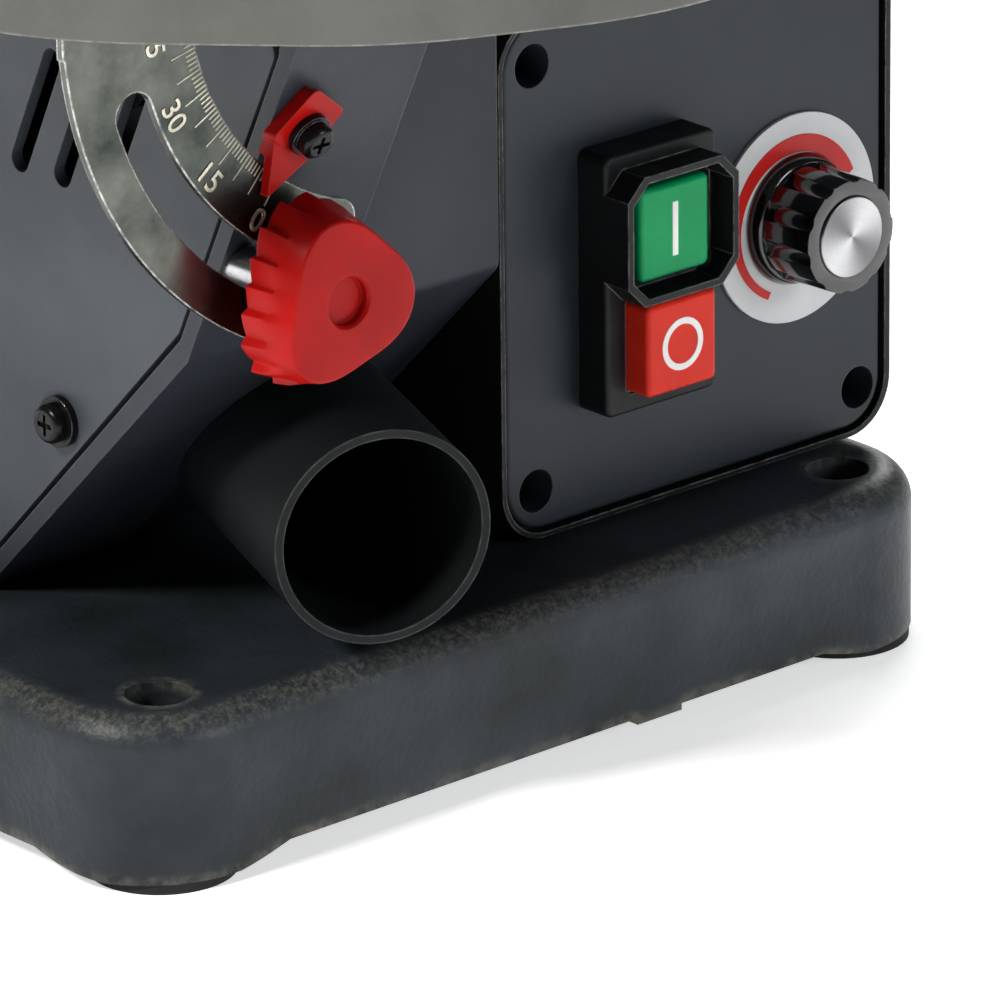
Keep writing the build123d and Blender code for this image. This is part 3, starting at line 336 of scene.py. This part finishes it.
def makeClearPlastic():
    # all but invisible, apart from its rims, where a painted highlight raises the alpha and lightens the colour
    clear = bpy.data.materials.new("clearPlastic")
    clear.use_nodes = True
    tree = clear.node_tree
    shader = tree.nodes["Principled BSDF"]
    shader.inputs["IOR"].default_value = clearLook["refraction"]
    place = addNode(tree, "ShaderNodeTexCoord", (-900, 0)).outputs["Object"]
    rims = edgeMask(tree, clearLook["rim"])
    tree.links.new(spread(tree, rims, 0.0, 1.0, clearLook["thinnest"], clearLook["rimHighlightAlpha"], (-300, -400)),
                   shader.inputs["Alpha"])
    haze = noiseAt(tree, place, clearLook["hazeScale"], 3.0, 0.5, (-650, 0))
    tree.links.new(spread(tree, haze, 0.3, 0.7, *clearLook["gloss"], (-400, 0)), shader.inputs["Roughness"])
    tint = blendColours(tree, haze, clearLook["tint"], clearLook["hazeTint"], (-400, 200))
    tree.links.new(blendColours(tree, rims, tint, clearLook["rimHighlightColour"], (-200, 200)),
                   shader.inputs["Base Color"])
    return clear


spunLook = {
    "dark": (0.14, 0.14, 0.15), "bright": (0.48, 0.48, 0.49), "fans": 2.0, "ringScale": 9000,
    "gloss": (0.22, 0.4), "depth": 0.00001,
}


def makeSpunMetal():
    # concentric turning marks round the knob's axis in roughness and bump; the colour brightens and darkens twice round
    # the axis as a painted reflection of the spun finish
    centre = (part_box("speed_knob_cap")[0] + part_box("speed_knob_cap")[1]) / 2
    spun = bpy.data.materials.new("spunMetal")
    spun.use_nodes = True
    tree = spun.node_tree
    shader = tree.nodes["Principled BSDF"]
    place = addNode(tree, "ShaderNodeTexCoord", (-1500, 0)).outputs["Object"]
    centred = addNode(tree, "ShaderNodeMapping", (-1300, 0))
    centred.inputs["Location"].default_value = (-centre.x, -centre.y, -centre.z)
    tree.links.new(place, centred.inputs["Vector"])
    parts = addNode(tree, "ShaderNodeSeparateXYZ", (-1100, 0))
    tree.links.new(centred.outputs["Vector"], parts.inputs["Vector"])
    # painted reflection: two bright and two dark fans round the axis
    turned = addNode(tree, "ShaderNodeMath", (-900, 100), operation="ARCTAN2")
    tree.links.new(parts.outputs["Z"], turned.inputs[0])
    tree.links.new(parts.outputs["X"], turned.inputs[1])
    doubled = times(tree, turned.outputs[0], spunLook["fans"], (-720, 100))
    sheen = addNode(tree, "ShaderNodeMath", (-560, 100), operation="SINE")
    tree.links.new(doubled, sheen.inputs[0])
    sheenShare = spread(tree, sheen.outputs[0], -1.0, 1.0, 0.0, 1.0, (-400, 100))
    rings = addNode(tree, "ShaderNodeVectorMath", (-900, -200), operation="LENGTH")
    tree.links.new(centred.outputs["Vector"], rings.inputs[0])
    ringNoise = addNode(tree, "ShaderNodeTexNoise", (-700, -200), noise_dimensions="1D")
    ringNoise.inputs["Scale"].default_value = spunLook["ringScale"]
    tree.links.new(rings.outputs["Value"], ringNoise.inputs["W"])
    tree.links.new(blendColours(tree, sheenShare, spunLook["dark"], spunLook["bright"], (-200, 150)),
                   shader.inputs["Base Color"])
    tree.links.new(spread(tree, ringNoise.outputs["Fac"], 0.3, 0.7, *spunLook["gloss"], (-400, -200)),
                   shader.inputs["Roughness"])
    bump = addNode(tree, "ShaderNodeBump", (-200, -300))
    bump.inputs["Distance"].default_value = spunLook["depth"]
    tree.links.new(ringNoise.outputs["Fac"], bump.inputs["Height"])
    tree.links.new(bump.outputs["Normal"], shader.inputs["Normal"])
    shader.inputs["Metallic"].default_value = 1.0
    return spun


finishes["clearPlastic"] = makeClearPlastic()
finishes["spunMetal"] = makeSpunMetal()

nodeFinishes = {
    "castPaint": ["base_casting", "rear_column", "upper_arm_housing"],
    "housingPaint": ["lower_housing"],
    "coverPaint": ["side_cover"],
    "panelPlastic": ["control_panel"],
    "tableCoat": ["table_top"],
    "castAluminium": ["lower_arm", "upper_arm", "connecting_rod", "table_lugs"],
    "turnedSteel": ["arm_pivot_pins", "hold_down_rod", "blade", "lower_blade_clamp", "upper_blade_clamp",
                    "tension_rod", "crank_disc", "motor_shaft", "motor_bearings", "motor_rotor", "tilt_brackets",
                    "tilt_pins", "clamp_stud", "potentiometer_spindle"],
    "platedSheet": ["tilt_scale", "hold_down_foot"],
    "blackScrew": ["cover_screws", "cover_washers", "column_bolts", "lower_clamp_screw", "upper_clamp_screw",
                   "table_screws", "pointer_screw", "panel_screws"],
    "redPlastic": ["hold_down_knob", "tension_knob", "table_insert", "pointer", "clamp_knob"],
    "blackPlastic": ["motor_can", "motor_end_cap", "clamp_washer", "control_box", "switch_housing",
                     "speed_potentiometer", "cord_gland"],
    "ductPlastic": ["dust_port"],
    "blackGloss": ["speed_knob"],
    "footRubber": ["rubber_feet"],
    "greenCap": ["start_button"],
    "redCap": ["stop_button"],
    "dialPrint": ["speed_dial"],
    "sinteredBronze": ["lower_arm_bushes", "upper_arm_bushes"],
    "copperWinding": ["motor_stator"],
    "circuitBoard": ["speed_circuit_board"],
    "clearPlastic": ["start_button_cap", "stop_button_cap"],
    "spunMetal": ["speed_knob_cap"],
}
for finishName, members in nodeFinishes.items():
    for member in members:
        slots = nodes[member].material_slots
        if not slots:
            nodes[member].data.materials.append(None)
        for materialSlot in nodes[member].material_slots:
            materialSlot.material = finishes[finishName]
print("scroll saw: finishes")


# ---- modelling by hand: small helpers

def nothingSelected():
    if bpy.context.object and bpy.context.object.mode != "OBJECT":
        bpy.ops.object.mode_set(mode="OBJECT")
    bpy.ops.object.select_all(action="DESELECT")


def takeUp(piece):
    nothingSelected()
    piece.select_set(True)
    bpy.context.view_layer.objects.active = piece


def settle(piece, name):
    takeUp(piece)
    piece.name = name
    bpy.ops.object.transform_apply(location=True, rotation=True, scale=True)
    return piece


def roundBar(name, sides, radius, x, z, front, back):
    # a bar along Y, from front to back
    nothingSelected()
    bpy.ops.mesh.primitive_cylinder_add(vertices=sides, radius=radius, depth=back - front,
                                        location=(x, (front + back) / 2, z), rotation=(math.pi / 2, 0, 0))
    return settle(bpy.context.object, name)


def brick(name, size, centre):
    nothingSelected()
    bpy.ops.mesh.primitive_cube_add(size=1.0, location=centre, scale=size)
    return settle(bpy.context.object, name)


def roundWire(name, sides, radius, x, y, z):
    # an open ring of edges that faces the front
    nothingSelected()
    bpy.ops.mesh.primitive_circle_add(vertices=sides, radius=radius, fill_type="NOTHING", location=(x, y, z),
                                      rotation=(math.pi / 2, 0, 0))
    return settle(bpy.context.object, name)


def chooseFaces(piece, test):
    takeUp(piece)
    bpy.ops.object.mode_set(mode="EDIT")
    bpy.ops.mesh.select_mode(type="FACE")
    mesh = bmesh.from_edit_mesh(piece.data)
    for face in mesh.faces:
        face.select_set(bool(test(face.calc_center_median(), face.normal)))
    bmesh.update_edit_mesh(piece.data)


def chooseCorners(piece, test):
    takeUp(piece)
    bpy.ops.object.mode_set(mode="EDIT")
    bpy.ops.mesh.select_mode(type="VERT")
    mesh = bmesh.from_edit_mesh(piece.data)
    for corner in mesh.verts:
        corner.select_set(bool(test(corner.co)))
    mesh.select_flush(True)
    bmesh.update_edit_mesh(piece.data)


def pull(x=0.0, y=0.0, z=0.0):
    bpy.ops.mesh.extrude_region_move(TRANSFORM_OT_translate={"value": (x, y, z)})


def scaleRound(share, x, z):
    bpy.ops.transform.resize(value=(share, 1.0, share), center_override=(x, 0.0, z))


def modify(piece, kind, **settings):
    takeUp(piece)
    modifier = piece.modifiers.new(kind.lower(), kind)
    for key, value in settings.items():
        setattr(modifier, key, value)
    bpy.ops.object.modifier_apply(modifier=modifier.name)


def cutWith(piece, cutter):
    modify(piece, "BOOLEAN", operation="DIFFERENCE", object=cutter, solver="EXACT")
    bpy.data.objects.remove(cutter)


def roundEdges(piece, width, segments=3, angle=35):
    modify(piece, "BEVEL", width=width, segments=segments, limit_method="ANGLE",
           angle_limit=math.radians(angle), use_clamp_overlap=True)


def merge(pieces, name):
    takeUp(pieces[0])
    for piece in pieces[1:]:
        piece.select_set(True)
    bpy.ops.object.join()
    pieces[0].name = name
    return pieces[0]


def closeUp(piece):
    takeUp(piece)
    bpy.ops.object.mode_set(mode="EDIT")
    bpy.ops.mesh.select_all(action="SELECT")
    bpy.ops.mesh.remove_doubles(threshold=0.000002)
    bpy.ops.mesh.normals_make_consistent(inside=False)
    bpy.ops.object.mode_set(mode="OBJECT")


def dress(piece, finishName, body, slotName, *standsFor, smooth=32):
    takeUp(piece)
    piece.data.materials.clear()
    piece.data.materials.append(finishes[finishName])
    bpy.ops.object.shade_smooth_by_angle(angle=math.radians(smooth))
    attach(piece, body)
    if standsFor:
        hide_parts(*standsFor)
    nothingSelected()


# ---- tilt clamp grip: three rounded lobes, saw-like teeth at the rear that fade forward

clampGrip = {
    "columns": 114, "radius": 15.9 * mm, "lobe": 1.7 * mm, "lobeTurn": 13.0, "tooth": 1.5 * mm, "perTooth": 6,
    # distance from the rear rim, size, share of the tooth
    "rings": ((0.0, 1.07, 1.0), (1.6, 1.06, 1.0), (4.2, 1.045, 0.8), (6.6, 1.02, 0.35), (8.4, 1.0, 0.0),
              (11.0, 0.965, 0.0), (11.6, 0.95, 0.0), (11.92, 0.925, 0.0), (12.0, 0.89, 0.0)),
    "rimFromFront": 12.0 * mm, "holeRadius": 4.75 * mm, "holeChamfer": 0.6 * mm, "holeTaper": 0.985,
    "holeFloor": 0.3 * mm, "hubRadius": 8.0 * mm, "studRadius": 4.1 * mm, "studDepth": 4.0 * mm,
}


def makeClampGrip():
    low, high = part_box("clamp_knob")
    stud = (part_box("clamp_stud")[0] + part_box("clamp_stud")[1]) / 2
    x, z, radius = stud.x, stud.z, clampGrip["radius"]
    front, hubBack = low.y, high.y
    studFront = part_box("clamp_stud")[0].y
    rearRim = front + clampGrip["rimFromFront"]
    grip = roundWire("clampGrip", clampGrip["columns"], radius * clampGrip["rings"][0][1], x, rearRim, z)
    chooseCorners(grip, lambda p: True)
    passed, size = 0.0, clampGrip["rings"][0][1]
    for distance, share, _ in clampGrip["rings"][1:]:
        pull(y=-(distance - passed) * mm)
        scaleRound(share / size, x, z)
        passed, size = distance, share
    # the front face runs in to the chamfered hole
    now = radius * size
    for target, inward in ((clampGrip["holeRadius"] + clampGrip["holeChamfer"], 0.0),
                           (clampGrip["holeRadius"], clampGrip["holeChamfer"]),
                           (clampGrip["holeRadius"] * clampGrip["holeTaper"],
                            studFront - front - clampGrip["holeFloor"] - clampGrip["holeChamfer"]),
                           (0.1 * mm, 0.0)):
        pull(y=inward)
        scaleRound(target / now, x, z)
        now = target
    bpy.ops.mesh.merge(type="CENTER")
    # and the rear rim to the hub
    chooseCorners(grip, lambda p: abs(p.y - rearRim) < 1e-6)
    now = radius * clampGrip["rings"][0][1]
    for target, outward in ((clampGrip["hubRadius"], 0.0), (clampGrip["hubRadius"], hubBack - rearRim),
                            (clampGrip["studRadius"], 0.0)):
        pull(y=outward)
        scaleRound(target / now, x, z)
        now = target
    pull(y=-clampGrip["studDepth"])
    smallest = 0.8 * radius  # everything farther out is the gripping rim
    columns, perTooth = clampGrip["columns"], clampGrip["perTooth"]

    pitch = 2 * math.pi / columns

    def column(p):
        # the first corner of a round wire stands straight above its middle
        return round((math.atan2(p.z - z, p.x - x) - math.pi / 2) / pitch) % columns

    def outside(p):
        return math.hypot(p.x - x, p.z - z) > smallest

    third = columns // 3
    wanted = {}
    for index in range(third):
        angle = math.pi / 2 + pitch * index
        wanted[index] = 1 + clampGrip["lobe"] / radius * math.cos(3 * (angle + math.radians(clampGrip["lobeTurn"])))
    for index, share in wanted.items():
        chooseCorners(grip, lambda p: outside(p) and column(p) % third == index)
        scaleRound(share, x, z)
    for distance, _, toothShare in clampGrip["rings"]:
        if toothShare:
            for step in range(perTooth):
                reach = 1 + clampGrip["tooth"] / radius * toothShare * (0.5 - step / (perTooth - 1))
                chooseCorners(grip, lambda p: outside(p) and column(p) % perTooth == step
                              and abs(p.y - (rearRim - distance * mm)) < 1e-5)
                scaleRound(reach, x, z)
    closeUp(grip)
    dress(grip, "redPlastic", "clamp_knob", "red_plastic", "clamp_knob", smooth=28)


# ---- speed knob: ten scallops, a skirt and a recess for the spun cap

speedGrip = {
    "flutes": 10, "fluteRadius": 2.9 * mm, "fluteCentre": 14.3 * mm, "turn": 12.0, "radius": 12.4 * mm,
    "taper": 0.955, "skirtRadius": 14.0 * mm, "skirtDepth": 3.0 * mm, "skirtTaper": 0.92, "skirtEdge": 0.5 * mm,
    "recessRadius": 8.55 * mm, "recessDepth": 0.7 * mm, "edge": 0.55 * mm,
}


def makeSpeedGrip():
    low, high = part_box("speed_knob")
    x, z = (low.x + high.x) / 2, (low.z + high.z) / 2
    skirtFront = high.y - speedGrip["skirtDepth"]
    body = roundBar("speedGrip", 120, speedGrip["radius"], x, z, low.y, skirtFront + 0.2 * mm)
    chooseFaces(body, lambda p, n: n.y < -0.9)
    scaleRound(speedGrip["taper"], x, z)
    cutters = []
    for index in range(speedGrip["flutes"]):
        angle = math.radians(360 / speedGrip["flutes"] * index + speedGrip["turn"])
        cutters.append(roundBar("flute", 40, speedGrip["fluteRadius"], x + speedGrip["fluteCentre"] * math.cos(angle),
                                z + speedGrip["fluteCentre"] * math.sin(angle), low.y - 2 * mm, skirtFront + 1 * mm))
    cutWith(body, merge(cutters, "flutes"))
    cutWith(body, roundBar("recess", 96, speedGrip["recessRadius"], x, z, low.y - mm, low.y + speedGrip["recessDepth"]))
    roundEdges(body, speedGrip["edge"])
    skirt = roundBar("skirt", 120, speedGrip["skirtRadius"], x, z, skirtFront, high.y)
    chooseFaces(skirt, lambda p, n: n.y < -0.9)
    scaleRound(speedGrip["skirtTaper"], x, z)
    roundEdges(skirt, speedGrip["skirtEdge"], angle=30)
    grip = merge([body, skirt], "speedGrip")
    dress(grip, "blackGloss", "speed_knob", "black_gloss", "speed_knob", smooth=35)


# ---- printed and moulded marks

dialBand = {
    "outer": 17.6 * mm, "inner": 14.9 * mm, "thick": 0.12 * mm, "proud": 0.1 * mm, "steps": 96,
    "start": 23.0, "sweep": 221.0,  # degrees, anticlockwise from the right
    "shift": 1.0 * mm, "shiftTowards": 250.0,  # the inner edge is off centre, so the band narrows
}


def makeDialBand():
    low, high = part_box("speed_dial")
    x, z = (low.x + high.x) / 2, (low.z + high.z) / 2
    top = low.y - dialBand["proud"]
    start = math.radians(dialBand["start"])
    band = brick("dialBand", (dialBand["outer"] - dialBand["inner"], 0.0, 0.0),
                 (x + (dialBand["outer"] + dialBand["inner"]) / 2, top, z))
    closeUp(band)
    chooseCorners(band, lambda p: True)
    bpy.ops.transform.rotate(value=start, orient_axis="Y", center_override=(x, top, z))
    bpy.ops.mesh.spin(steps=dialBand["steps"], angle=math.radians(dialBand["sweep"]), center=(x, top, z),
                      axis=(0, 1, 0))
    middle = (dialBand["outer"] + dialBand["inner"]) / 2
    towards = math.radians(dialBand["shiftTowards"])
    chooseCorners(band, lambda p: math.hypot(p.x - x, p.z - z) < middle)
    bpy.ops.transform.translate(value=(dialBand["shift"] * math.cos(towards), 0,
                                       dialBand["shift"] * math.sin(towards)))
    chooseFaces(band, lambda p, n: True)
    pull(y=dialBand["thick"])
    closeUp(band)
    dress(band, "redPrint", "machine", "red_plastic")


switchMarks = {
    "barWidth": 1.5 * mm, "barHeight": 11.3 * mm, "ringOuter": 5.5 * mm, "ringInner": 4.15 * mm, "ringSides": 72,
    "thick": 0.24 * mm, "edge": 0.08 * mm,  # half of the thickness stands proud of the key
}


def makeSwitchMarks():
    for name, node in (("startMark", "start_button"), ("stopMark", "stop_button")):
        low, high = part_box(node)
        x, z, face = (low.x + high.x) / 2, (low.z + high.z) / 2, low.y
        if name == "startMark":
            mark = brick(name, (switchMarks["barWidth"], switchMarks["thick"], switchMarks["barHeight"]), (x, face, z))
            roundEdges(mark, switchMarks["edge"], 2)
        else:
            mark = roundWire(name, switchMarks["ringSides"], switchMarks["ringOuter"], x,
                             face + switchMarks["thick"] / 2, z)
            chooseCorners(mark, lambda p: True)
            pull()
            scaleRound(switchMarks["ringInner"] / switchMarks["ringOuter"], x, z)
            chooseFaces(mark, lambda p, n: True)
            pull(y=-switchMarks["thick"])
            closeUp(mark)
        dress(mark, "whitePrint", node, "dial_grey")


buttonLens = {"wall": 0.4 * mm, "gap": 0.4 * mm, "deep": 9.0 * mm, "round": 1.3 * mm, "openFrom": 0.6}


def makeButtonLenses():
    # thin clear covers, open at the back, over the start and stop keys
    for name, node in (("startLens", "start_button"), ("stopLens", "stop_button")):
        low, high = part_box(node)
        size = high - low
        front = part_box(node + "_cap")[0].y
        middle = (low + high) / 2
        side = 2 * buttonLens["gap"]
        lens = brick(name, (size.x + side, buttonLens["deep"], size.z + side),
                     (middle.x, front + buttonLens["deep"] / 2, middle.z))
        roundEdges(lens, buttonLens["round"], 4)
        chooseFaces(lens, lambda p, n: p.y > front + buttonLens["openFrom"] * buttonLens["deep"])
        bpy.ops.mesh.delete(type="FACE")
        modify(lens, "SOLIDIFY", thickness=buttonLens["wall"], offset=-1.0)
        dress(lens, "clearPlastic", node, "clear_cap", node + "_cap")


# ---- degree scale: raised ticks and numbers on the plated sheet

degreeScale = {
    "zeroAngle": 233.2, "first": 0, "last": 46, "innerRadius": 52.6 * mm, "shortRadius": 55.0 * mm,
    "longRadius": 58.4 * mm, "tickWidth": 0.30 * mm, "raised": 0.16 * mm, "labelRadius": 61.6 * mm,
    "longEvery": 5, "tickEdge": 0.07 * mm, "labels": (0, 15, 30, 45), "labelSize": 6.4 * mm,
    "labelEdge": 0.05 * mm,
}


def makeDegreeScale():
    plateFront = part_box("tilt_scale")[0].y
    pin = (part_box("tilt_pins")[0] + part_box("tilt_pins")[1]) / 2
    parts = []
    for degree in range(degreeScale["first"], degreeScale["last"] + 1):
        angle = math.radians(degreeScale["zeroAngle"] - degree)
        outer = degreeScale["longRadius"] if degree % degreeScale["longEvery"] == 0 else degreeScale["shortRadius"]
        reach = (degreeScale["innerRadius"] + outer) / 2
        nothingSelected()
        bpy.ops.mesh.primitive_cube_add(
            size=1.0, location=(pin.x + reach * math.cos(angle), plateFront, pin.z + reach * math.sin(angle)),
            rotation=(0, -angle, 0),
            scale=(outer - degreeScale["innerRadius"], 2 * degreeScale["raised"], degreeScale["tickWidth"]))
        parts.append(settle(bpy.context.object, "tick"))
    ticks = merge(parts, "scaleTicks")
    roundEdges(ticks, degreeScale["tickEdge"], 1)
    dress(ticks, "stampedMarks", "table", "zinc")
    numbers = []
    for label in degreeScale["labels"]:
        angle = math.radians(degreeScale["zeroAngle"] - label)
        nothingSelected()
        bpy.ops.object.text_add()
        text = bpy.context.object
        text.data.body = str(label)
        text.data.align_x = "CENTER"
        text.data.align_y = "CENTER"
        text.data.size = degreeScale["labelSize"]
        text.data.extrude = degreeScale["raised"]
        text.data.bevel_depth = degreeScale["labelEdge"]
        text.data.resolution_u = 6
        takeUp(text)
        bpy.ops.object.convert(target="MESH")
        along = Vector((-math.sin(angle), 0, math.cos(angle)))
        inward = Vector((-math.cos(angle), 0, -math.sin(angle)))
        outOf = along.cross(inward)
        turn = Matrix((along, inward, outOf)).transposed().to_4x4()
        reach = degreeScale["labelRadius"]
        number = bpy.context.object
        number.matrix_world = Matrix.Translation((pin.x + reach * math.cos(angle), plateFront,
                                                  pin.z + reach * math.sin(angle))) @ turn
        numbers.append(settle(number, "number"))
    labels = merge(numbers, "scaleNumbers")
    closeUp(labels)
    dress(labels, "stampedMarks", "table", "zinc")


makeClampGrip()
makeSpeedGrip()
print("scroll saw: clamp grip and speed knob")
makeDialBand()
makeSwitchMarks()
makeButtonLenses()
print("scroll saw: dial band, switch marks and lenses")
makeDegreeScale()
print("scroll saw: degree scale")
